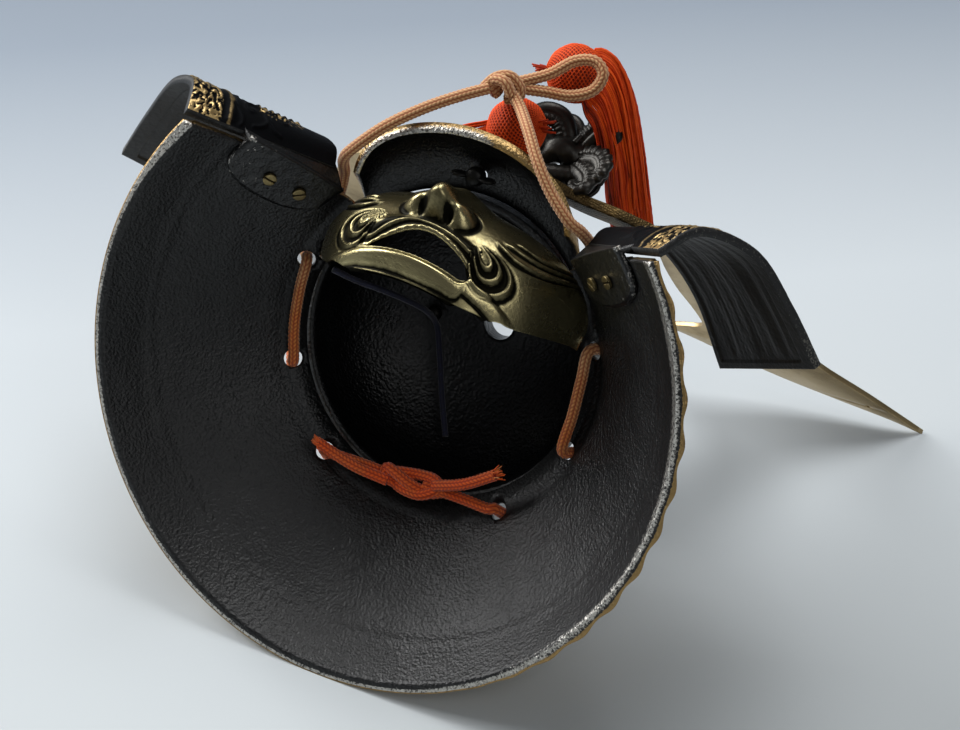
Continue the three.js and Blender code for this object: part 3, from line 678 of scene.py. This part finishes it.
gilt = brass("gilt bronze, worn", "#cfb27c", "#121315", rough=0.42, grain=420, relief=0.5, dark=0.36)
flap_mat = lacquer("thin matte lacquer inside the flaps", grain=300, rough=0.48, tone="#101113", strength=0.5,
                   bare_low="#3c3934", bare_high="#7d7a72")
for label, sign in SIDES:
    centre = [[low[i].lerp(high[i], j / ROWS) for j in range(ROWS + 1)] for i in range(COLS + 1)]
    n = normals(centre)
    face_out, face_in, bare, hollow = [], [], [], []
    for i in range(COLS + 1):
        face_out.append([])
        face_in.append([])
        for j in range(ROWS + 1):
            u, v = i / COLS, j / ROWS
            p, m = np.array(centre[i][j]), n[i][j]
            ends = min(u, 1 - u) * FLAP_LONG
            edge = min(ends, v * FLAP_WIDE - 3.5, (1 - v) * FLAP_WIDE)
            lip = 0.7 * ramp(edge, 3.4, 4.2)
            folds = 0.9 * noise.noise(Vector((u * 2.2 + v, v * 11, 1)))
            folds += 0.2 * noise.noise(Vector((u * 6, v * 34, 5)))
            h, dark = flap_relief(u, v)
            face_out[i].append(sided(p + m * (2 + 0.9 * h), sign))
            face_in[i].append(sided(p - m * (2 - lip + folds * ramp(edge, 4, 10)), sign))
            bare.append(0.3 * max(1 - min(ends, v * FLAP_WIDE, (1 - v) * FLAP_WIDE) / 0.8, 0)
                        + 0.16 * ramp(u, 0.75, 1) * (edge < 3.4))
            hollow.append(dark)
    wing = wall(f"turnback_{label}", face_out, face_in, "gilt_bronze", gilt, bare=bare * 2, hollow=hollow * 2)
    wing.data.materials.append(flap_mat)
    for poly in wing.data.polygons:  # gilding on the outer face alone
        poly.material_index = int(max(poly.vertices) >= len(bare))

# Tabs and webs: each flap's casting goes on as a rounded tab, screwed flat inside the guard, and a thin web that
# joins tab and wing. Both are lacquered black and chipped to the metal along their edges.
def tab_point(u, v):
    s = mix(0.23, 0.77, v)
    r, z = guard_inner(s)
    reach = 3.2 + 8 * math.sqrt(max(0, 1 - abs(2 * v - 1) ** 2.4)) * mix(0.75, 1.25, v)
    return polar(front_edge(r) + mix(-3.4, reach, u), r - 0.284, z - 0.284)


def guard_normal(p):
    return (Vector((-p.x, -p.y, 0)).normalized() + Vector((0, 0, -1))).normalized()


tab_mat = lacquer("black lacquer on the tabs", grain=500, rough=0.3, strength=0.5, bare_low="#8b8578")
TAB_STEPS, WEB_STEPS = 60, 16
TAB_WIDE, TAB_LONG = 22, 44


def web_point(u, v):  # the web runs from the tab's front edge to the wing's root and ends in a chipped ridge
    inner_end = tab_point(0.12, v)
    root = round(0.03 * COLS)
    return (inner_end + guard_normal(inner_end) * 1.5).lerp(low[root].lerp(high[root], inner_end.z / 60.5), u)


for label, sign in SIDES:
    outside, inside, bare = [], [], []
    for i in range(TAB_STEPS + 1):
        outside.append([])
        inside.append([])
        for j in range(TAB_STEPS + 1):
            u, v = i / TAB_STEPS, j / TAB_STEPS
            p = tab_point(u, v)
            edge = min((1 - u) * TAB_WIDE, v * TAB_LONG, (1 - v) * TAB_LONG)
            rise = 3 - 1.3 * (1 - ramp(edge, 0, 1.6)) + 0.2 * noise.noise(p * 0.3)
            q = p + guard_normal(p) * rise
            outside[i].append(sided(p, sign))
            inside[i].append(sided(q, sign))
            chips = noise.noise(p * 0.42) + 0.4 * (1 - ramp(v, 0.1, 0.5))
            bare.append(0.36 * max(1 - edge / 1.2, 0) + 0.42 * ramp(chips, 0.62, 0.75))
    wall(f"turnback_{label}_tab", outside, inside, "gilt_bronze", tab_mat, False, bare=bare * 2)
    sheet = [[web_point(i / WEB_STEPS, j / TAB_STEPS) for j in range(TAB_STEPS + 1)]
             for i in range(WEB_STEPS + 1)]
    sides, bare = ([], []), []
    for row, across in zip(sheet, normals(sheet)):
        for p, m in zip(row, across):
            worn = ramp(len(bare) / ((WEB_STEPS + 1) * (TAB_STEPS + 1)), 0.7, 0.95)
            bare.append(0.62 * worn * (0.75 + noise.noise(p * 0.5)))
            for points, reach in zip(sides, (1, -1)):
                points.append(sided(p + Vector(m) * reach * (1.4 - 0.7 * worn), sign))
    piece(f"turnback_{label}_web", sides[0] + sides[1], wall_faces(WEB_STEPS + 1, TAB_STEPS + 1), "gilt_bronze",
          tab_mat, False, bare=bare * 2)

# Tab screws: two of turned brass through each tab, with a cheese head and a sawn slot. They are tarnished
# wherever the driver hasn't rubbed.
screw_mat = brass("brass screw", "#94845c", "#3a3222", rough=0.34, grain=700, relief=0.2, dark=0.5)
HEAD_R = 3.3
RINGS, SEGMENTS = 26, 48
for k, v in enumerate((0.41, 0.72)):
    for label, sign in SIDES:
        p = tab_point(0.54, v)
        normal = guard_normal(p)
        side = normal.cross(Vector((0, 0, 1))).normalized()
        other = normal.cross(side)
        turn = 1.5 - 0.75 * k
        side, other = (side * math.cos(turn) + other * math.sin(turn),
                       other * math.cos(turn) - side * math.sin(turn))
        points, hollow = [], []
        for m in range(RINGS + 1):
            for n in range(SEGMENTS):
                a = 2 * math.pi * n / SEGMENTS
                t = m / RINGS
                r = HEAD_R * min(t * 1.25, 1)
                h = 5 - 0.35 * t ** 4 if t < 0.8 else mix(4.86, 3.4, (t - 0.8) / 0.2)
                slot_here = abs(r * math.sin(a)) < 0.45 and t < 0.82
                q = p + normal * (h - 0.8 * slot_here) + (side * math.cos(a) + other * math.sin(a)) * r
                points.append(sided(q, sign))
                # painted shade: the slot is painted dark
                hollow.append(0.9 if slot_here else 0)
        faces = ring_faces(RINGS + 1, SEGMENTS) + [tuple(range(RINGS * SEGMENTS, (RINGS + 1) * SEGMENTS))]
        piece(f"tab_screw_{label}_{k + 1}", points, faces, "aged_brass", screw_mat, hollow=hollow)

# Half mask: a thin brass casting of nose, cheeks and lips, hung by cords at its ends. The lips are edged with a
# notched double bead, and the cheeks are drawn into curved wrinkles round the mouth's corners.
MASK_HALF = 70.5
TILT, ROLL = math.radians(63), math.radians(3.4)
out = Vector((0, -math.sin(TILT), -math.cos(TILT)))
turn = Matrix.Rotation(-ROLL, 3, out)
mask_up = turn @ Vector((0, -math.cos(TILT), math.sin(TILT)))
mask_side = turn @ Vector((1, 0, 0))
MASK = Matrix((mask_side, mask_up, out)).transposed().to_4x4()
MASK = Matrix.Translation((2, -26, 65)) @ MASK


def mask_edges(u):
    a = math.asin(max(-1, min(1, u / MASK_HALF)))
    c = math.cos(a)
    low = -40 * (1 - abs(math.sin(a)) ** 3.4) - 1
    return c, low, 2 + 17 * c ** 0.35 - 9 * ramp(-u, 38, 64)


def mask_depth(u, v):
    c, low, high = mask_edges(u)
    q = (v - low) / (high - low)
    w = mix(43.6 * c ** 1.5, 46 * c ** 0.8, q) + 12 * c * 4 * q * (1 - q)
    ridge = ring(u, 0, 11) * ramp(v, -14, -6)
    w += (9 + 7.5 * bump(u, v, 0, -3, 12, 9)) * ridge + 4 * bump(abs(u), v, 13, -4, 4.5, 6)
    w += 6 * bump(u, v, 0, -20, 28, 5) + 3 * bump(u, v, 0, -35, 30, 3.5)
    return w + 3 * bump(abs(u), v, 42, -8, 14, 12)


def lips(u):
    """The mouth's two edges: a crescent that ends sharp on one side and round on the other."""
    upper = -22.5 - 5.3 * (u / 25) ** 2 + 0.12 * u
    lower = -31.3
    end = 1 - math.sqrt(1 - min(max((u - 23.5) / 5, 0), 1) ** 2)
    start = min(max((-19 - u) / 6, 0), 1) ** 2
    upper = mix(mix(upper, -27.5, end), -31, start)
    return upper, min(mix(mix(lower, -27.5, end), -31, start), upper)


def mouth_line(u, edge):
    """One edge of the mouth across the whole mask: past the corners both run together to the tip."""
    low, high = mask_edges(u)[1:]
    past = ramp(abs(u), 29, 62)
    return min(max(mix(lips(max(-25, min(28.5, u)))[edge], (low + high) / 2, past), low + 0.3), high - 0.3)


def mask_relief(u, v):
    """Fine relief over the mask's form, in millimetres, and how deep in a hollow the point lies."""
    upper, lower = lips(max(-25, min(28.5, u)))
    above, below = v - upper, lower - v
    near = 1 - ramp(abs(u), 25, 33)
    notch = 0.5 + 0.5 * math.cos(u * 1.7)
    h = near * ((0.5 + 0.5 * notch ** 3) * ring(above, 1.0, 0.8) + 0.9 * ring(above, 4.6, 0.8))
    h -= near * (0.8 * ring(above, 2.9, 0.9) + 0.6 * ring(above, 6.2, 0.8))
    hollow = near * (0.5 * ring(above, 2.9, 1.0) + 0.55 * ring(above, 7.5, 2.2))
    side = 1 - ramp(abs(u), 44, 52)
    bead = 0.5 + 0.5 * math.cos(u * 2.1 + 1)
    h += near * (0.35 + 0.3 * bead) * ring(below, 0.7, 0.6)
    lip = below + 0.06 * (abs(u) / 8) ** 2
    h += side * (1.9 * ring(lip, 4.3, 2.6) - 0.9 * ring(lip, 1.4, 0.5) - 1.1 * ring(lip, 8.3, 0.7))
    hollow += side * (0.5 * ring(lip, 8.6, 0.9) + 0.3 * ring(lip, 1.4, 0.5) - 0.35 * ring(lip, 4.3, 2.4))
    x, y = abs(u) - 26, -11 - v  # wrinkles nest inside one another, from a point beside the nose
    along, across = (x + y) * 0.707, (x - y) * 0.707
    reach = along + 1.5
    drop = math.hypot(max(reach - 9, 0) / 14.5, (across + 2.2 - 0.12 * along) / (1.2 + 0.62 * max(reach, 0)))
    drop = max(drop, (1 - reach) * 0.5 + 1) if reach < 1 else drop
    fold = 0.5 + 0.5 * math.cos(2 * math.pi * (drop - 0.02) / 0.31)
    inside = (1 - ramp(drop, 1.02, 1.16)) * ramp(drop, 0.12, 0.3) * ramp(reach, 0.5, 4)
    h += 2.2 * (fold ** 1.5 - 0.45) * inside
    hollow += 0.55 * (1 - fold) * inside
    for k, (centre, base, bend) in enumerate(((40, -9.3, 0.043), (38, -4, 0.035), (40, 1.5, 0.04))):
        crease = v - base - bend * (abs(u) - centre) ** 2
        reach = ramp(abs(u), 29 + 3 * k, 36 + 3 * k) * (1 - ramp(abs(u), 58, 66))
        h += reach * (1.1 * ring(crease, 0.9, 0.9) - 1.1 * ring(crease, -0.7, 0.7))
        hollow += 0.5 * reach * ring(crease, -0.8, 0.9)
    wing = math.hypot(abs(u) - 13, (v + 4.5) * 0.9)
    h += 1.0 * ring(wing, 2.5, 2.4) - 1.3 * ring(wing, 6.6, 1.0) * ramp(abs(u), 10, 15)
    pit = bump(abs(u), v, 6.8, -8.6, 2.1, 2.3)
    hollow += 0.9 * pit + 0.5 * ring(wing, 6.6, 1.2) * ramp(abs(u), 10, 15) + 0.35 * bump(u, v, 0, -13, 8, 3)
    return h - 5 * pit, hollow


def mask_sheet(edge_low, edge_high, rows, cols=260):
    front, hollow = [], []
    for i in range(cols + 1):
        u = (MASK_HALF - 0.1) * math.sin(math.pi * mix(-0.5, 0.5, i / cols))
        front.append([])
        for j in range(rows + 1):
            v = mix(edge_low(u), edge_high(u), j / rows)
            h, dark = mask_relief(u, v)
            front[i].append(MASK @ Vector((u, v, mask_depth(u, v) + h)))
            hollow.append(dark - 0.2)
    n = normals(front)
    facing = 1 if Vector(n[cols // 2][rows // 2]).dot(out) > 0 else -1
    behind = [[p - Vector(m) * facing * 2.4 for p, m in zip(*row)] for row in zip(front, n)]
    return front, behind, hollow


points, faces, hollow = [], [], []
for sheet in (mask_sheet(lambda u: mask_edges(u)[1], lambda u: mouth_line(u, 1), 60),
              mask_sheet(lambda u: mouth_line(u, 0), lambda u: mask_edges(u)[2], 110)):
    front, behind, shades = sheet
    faces += wall_faces(len(front), len(front[0]), len(points))
    points += sum(front, []) + sum(behind, [])
    hollow += shades + [0.8] * len(shades)
mask_mat = brass("cast brass mask, dark in the hollows", "#b9ad80", "#14130d", rough=0.25, grain=520, relief=0.45,
                 dark=0.36)
piece("face_mask", points, faces, "dark_brass", mask_mat, hollow=hollow)

# Stud: a small round head of black bronze on a shank through the bowl, which keeps the mask's cord in its
# place.
points, faces = [], []
tube(spline([(-32, 2, 138), (-32, 2, 130.2)], 20)[0],
     lambda run, a, t: 2 if t < 0.4 else 4.2 * math.sqrt(max(0.02, 1 - ((t - 0.55) / 0.46) ** 2)), 24,
     points, faces)
piece("bowl_stud", points, faces, "black_bronze", bronze)

# Front crest: a dragon-like coil of black bronze with curled plumes, cast in one piece. It stands before the
# boss, toward the wearer's left.
CORE = Vector((23.5, 22, 20))
points, faces = [], []


def limb(path, radius, sides=14):
    """A round or leaf-shaped member, wide in the plane that faces the wearer."""
    tube(path, radius, sides, points, faces, (0, 1, 0))


def leaf(wide, teeth):
    """Cross-section of a flat leaf with a toothed outer edge and a groove along its middle."""
    def at(run, a, t):
        r = wide * math.sin(math.pi * mix(0.16, 0.97, t)) ** 0.8 + 0.5
        tooth = 0.26 * abs(math.sin(run * teeth)) * (math.cos(a) > 0.2)
        groove = 0.3 * ring(math.cos(a), 0, 0.22)
        return r * (1 + tooth - groove) / math.hypot(math.cos(a), math.sin(a) / 0.5)
    return at


limb(spline([CORE + Vector(p) for p in ((-14, 0, -6), (-6, -2, 4), (6, 2, 3), (15, 0, -5))], 60)[0],
     lambda run, a, t: 8 * math.sin(math.pi * mix(0.08, 0.92, t)) * (1 + 0.16 * math.cos(8 * a + run * 0.6)))
limb(spline([(30, 22, 14), (8, 20, 9), (-14, 22, 8), (-34, 27, 8), (-46, 36, 8)], 90)[0],
     lambda run, a, t: mix(4.6, 2.2, t) * (1 + 0.16 * abs(math.cos(run * 0.9)) * abs(math.cos(a))))
for k in range(15):
    angle = mix(math.radians(152), math.radians(-52), k / 14)
    lift, size = (-10, 0, 8)[k % 3], (1, 0.86, 0.72)[k % 3] * (1 if k < 7 else 0.8)
    bend = (1 if k % 2 else 0.55) * (-1 if k < 5 else 1)
    curl = []
    for r, t in ((4, 0), (13, 0.05), (21, 0.2), (26, 0.5), (25, 0.85), (20, 1.0), (18, 0.8)):
        curl.append(Vector((math.cos(angle - t * bend) * r * size, lift * r / 30,
                            math.sin(angle - t * bend) * r * size)) + CORE)
    limb(spline(curl, 60)[0], leaf((5.2, 4.2, 3.4)[k % 3], 1.1), 20)
for k, angle in enumerate((0.9, 0.25, -0.45)):  # thin whips that curl back beyond the leaves
    whip = [CORE + Vector((math.cos(angle - t) * r, -6 + 4 * k, math.sin(angle - t) * r))
            for r, t in ((8, -0.5), (16, -0.35), (21, 0), (21, 0.4), (17, 0.65), (14, 0.5))]
    limb(spline(whip, 50)[0], lambda run, a, t: mix(1.7, 0.7, t), 10)
piece("front_crest", points, faces, "black_bronze", bronze, place=PLANE)

# Tassels: each has a round head under a knitted net of orange silk cord, and a skirt of long twisted strands
# that falls out of the head to one side.
silk, silk_shader = material("orange silk", Roughness=0.7, Specular_IOR_Level=0.25)
where = node(silk, "TexCoord")
hollow = node(silk, "Attribute", {"attribute_name": "hollow"})
shade = node(silk, "TexNoise", Vector=where, Scale=240, Detail=3)
depth = node(silk, "Math", {"operation": "MULTIPLY_ADD"}, _0=shade, _1=0.3, _2=hollow)
# Toward its dark end the ramp paints shade: in the net's holes and on the far and lower strands. The noise gives
# the silk an uneven tone of its own.
dye = node(silk, "ValToRGB", {"ramp": [(0.1, "#e8580f"), (1.0, "#3c0a02"), (0.45, "#c93a08")]}, Fac=depth)
attach(silk, silk_shader, Base_Color=dye)


NET_TALL, NET_ROUND = 96, 240  # steps from top to bottom of a head, and round it


def net_head(centre, axis, radius=14.5):
    """A ball with a net over it, and how deep each point lies in the net's holes, which sets the painted shade
    there.
    """
    axis = Vector(axis).normalized()
    side = axis.orthogonal().normalized()
    other = axis.cross(side)
    points, holes = [], []
    for m in range(NET_TALL + 1):
        for n in range(NET_ROUND):
            a, b = math.pi * m / NET_TALL, 2 * math.pi * n / NET_ROUND
            row = m / NET_TALL * 22
            cell = b / (2 * math.pi) * 30
            one = abs(math.sin(math.pi * (cell + row)))
            two = abs(math.sin(math.pi * (cell - row)))
            strand = max(1 - min(one, two) * 1.7, 0)
            uneven = 1 - 0.02 * noise.noise(Vector((m * 0.1, n * 0.05, 1)))
            r = radius * (0.955 + 0.045 * min(strand * 1.6, 1)) * uneven
            around = side * math.cos(b) + other * math.sin(b)
            points.append(Vector(centre) + (axis * math.cos(a) + around * math.sin(a)) * r)
            holes.append(0.75 * (1 - min(strand * 1.8, 1)))
    return points, ring_faces(NET_TALL + 1, NET_ROUND), holes


noise.seed_set(5)  # left to itself, noise_vector differs from run to run


def tassel(name, head, outer_edge, inner_edge, deep, strands, seed):
    """Strands lie between the skirt's two edges, and a short tuft stands where the net is drawn together."""
    rng = random.Random(seed)
    head = Vector(head)
    points, faces, holes = net_head(head, Vector(outer_edge[0]) + Vector(inner_edge[0]) - 2 * head)
    out_line, in_line = [spline(edge, 14)[0] for edge in (outer_edge, inner_edge)]
    for k in range(strands):
        x, y = rng.uniform(-0.22, 1), rng.gauss(0, 0.4)
        behind = Vector((-0.34, 0.29, 0.89)) * max(-x, 0) * 50  # the far strands lie deeper and darker
        loose = (4.5 if k % 23 == 0 else 1.2 if k % 5 == 0 else 0.5) * rng.uniform(0.6, 1)
        path = []
        for i, (a, b) in enumerate(zip(in_line, out_line)):
            t = i / 13
            drift = Vector((1, 0.2, 0.3)) * loose * noise.noise_vector(Vector((k * 3.1, t * 2.6, seed))).x * 1.6
            spread = Vector((0, y * deep * 0.4, y * deep)) * ramp(t, 0, 0.4)
            path.append(a.lerp(b, x) + (drift + behind) * ramp(t, 0, 0.3) + spread)
        path = [head + (path[0] - head) * 0.6] + path
        path = spline(path, 44)[0][:int(44 * rng.uniform(0.86, 1.0))]
        thick = rng.uniform(0.42, 0.58)
        count = tube(path, lambda run, a, t: thick * (1 + 0.2 * math.cos(2 * a + run * 3.2)), 6, points, faces)
        # painted shade: strands that lie far behind or spread toward the crown are darkened, on top of a random
        # tone of the silk
        holes += [rng.uniform(-0.1, 0.4) + 0.3 * (y > 0.3) + 0.35 * (x < 0)] * count
    away = (2 * head - Vector(outer_edge[0]) - Vector(inner_edge[0])).normalized()
    for k in range(9):
        stray = 0.35 * noise.noise_vector(Vector((k * 5.3, seed, 2)))
        tip = head + (away + stray).normalized() * rng.uniform(17, 22)
        holes += [0.5] * tube(spline([head, head.lerp(tip, 0.6), tip], 8)[0], 0.5, 6, points, faces)
    piece(name, points, faces, "red_cord", silk, hollow=holes)


HIGH_OUT = [(26, -152, 130), (36, -149, 132), (45.5, -134, 137), (53, -112, 143), (57.5, -83, 159),
            (61, -62, 170)]
HIGH_IN = [(29.5, -125.5, 122.5), (35.5, -121, 123), (41, -110, 127), (45, -96, 134), (45, -75, 152),
           (47, -58, 163)]
LOW = [(-8, -106, 98), (-20, -100, 98), (-32, -91, 99), (-43, -80, 101), (-52, -68, 104), (-59, -57, 108)]
tassel("tassel_high", (20, -138, 123), HIGH_OUT, HIGH_IN, 7, 210, 3)
tassel("tassel_low", (7, -110.5, 94.5), *[[(x, y + d, z) for x, y, z in LOW] for d in (-4, 4)], 4, 70, 8)

# Knots: a bow of the chin cord before the visor and a square knot at the back, tied by hand in the same braid
# and pulled tight. The back one is still deep orange, because the guard shaded it.
def knot(name, turns, fade):
    points, faces, shades, hollows = [], [], [], []
    for route in turns:
        path = spline(route, max(24, int(spline(route, 10)[1] / BRAID_STEP)))[0]
        gap = (path[1] - path[0]).length
        count = tube(path, chin, BRAID_SIDES, points, faces)
        shades += [fade] * count
        # painted shade between the stitches, as on the cords
        hollows += [sunk(chin, k // BRAID_SIDES * gap, k % BRAID_SIDES, BRAID_SIDES, CORD_R)
                    for k in range(count)]
    piece(name, points, faces, "salmon_braid", braid_mat, fade=shades, deep=hollows)


knot("chin_cord_knot", [
    [(-6, -128.5, 76), (-2, -134, 78), (4, -136, 80), (9, -132, 82), (9, -127, 83), (3, -124.5, 83)],
    [(8, -128, 77), (4, -133.5, 75.5), (-2, -133, 77), (-5, -129, 81), (-1, -125.5, 84)],
    [(-4, -126, 80), (0, -131, 85), (6, -132, 84.5), (10, -129, 82)]], 0.72)
knot("back_cord_knot", [
    [(-10, 67, 64.5), (-2, 70, 61.5), (8, 70.5, 61), (15, 67, 62), (17, 63.5, 63.5), (12, 62, 66), (2, 63, 66.5),
     (-8, 64.5, 65)],
    [(20, 66, 64), (12, 69, 64), (3, 66.5, 60.8), (-6, 63, 60.5), (-11, 63, 62.5), (-10, 67.5, 61.5),
     (0, 69.8, 64.5), (10, 69, 66.5)]], 0)

# Stage: pale paper, its colour painted darker toward the back as painted falloff of the light, under soft
# daylight from a large window to the left. A weak fill and a light from above stand for the rest of the room.
paper, paper_shader = material("pale paper", Roughness=0.95)
where = node(paper, "TexCoord")
# painted falloff: the paper's colour darkens away from the camera, in place of the light's own falloff
along = node(paper, "VectorMath", {"operation": "DOT_PRODUCT"}, _0=where, _1=(-0.556, 0.839, 0))
falloff_shade = node(paper, "ValToRGB", {"ramp": [(0.0, "#cbd1d3"), (1.0, "#5f6975"), (0.4, "#c3cacf"), (0.7, "#89939f")]},
            Fac=node(paper, "MapRange", Value=along, From_Min=-0.25, From_Max=0.75))
attach(paper, paper_shader, Base_Color=falloff_shade)
bpy.ops.mesh.primitive_plane_add(size=1, location=(0, 0, 0))
floor = bpy.context.object
floor.name = "paper"
floor.data.transform(Matrix.Scale(8, 4))
floor.data.materials.append(paper)

world = bpy.data.worlds.new("room")
world.use_nodes = True
world.node_tree.nodes["Background"].inputs["Color"].default_value = (0.86, 0.9, 0.95, 1)
world.node_tree.nodes["Background"].inputs["Strength"].default_value = 0.13
bpy.context.scene.world = world
for label, place, aim, size, power in (
        ("window", (-2.3, 0.15, 1.35), (0, 0, 0.1), 1.7, 88),
        ("fill", (1.3, -0.9, 1.5), (0.1, 0, 0), 1.2, 7),
        ("top", (-0.2, 0.8, 1.8), (0, 0, 0), 1.0, 22)):
    lamp = in_scene(label, bpy.data.lights.new(label, "AREA"))
    lamp.data.shape = "SQUARE"
    lamp.data.size = size
    lamp.data.energy = power
    lamp.location = place
    lamp.rotation_euler = (Vector(place) - Vector(aim)).to_track_quat("Z", "Y").to_euler()
bpy.context.scene.view_settings.view_transform = "Standard"
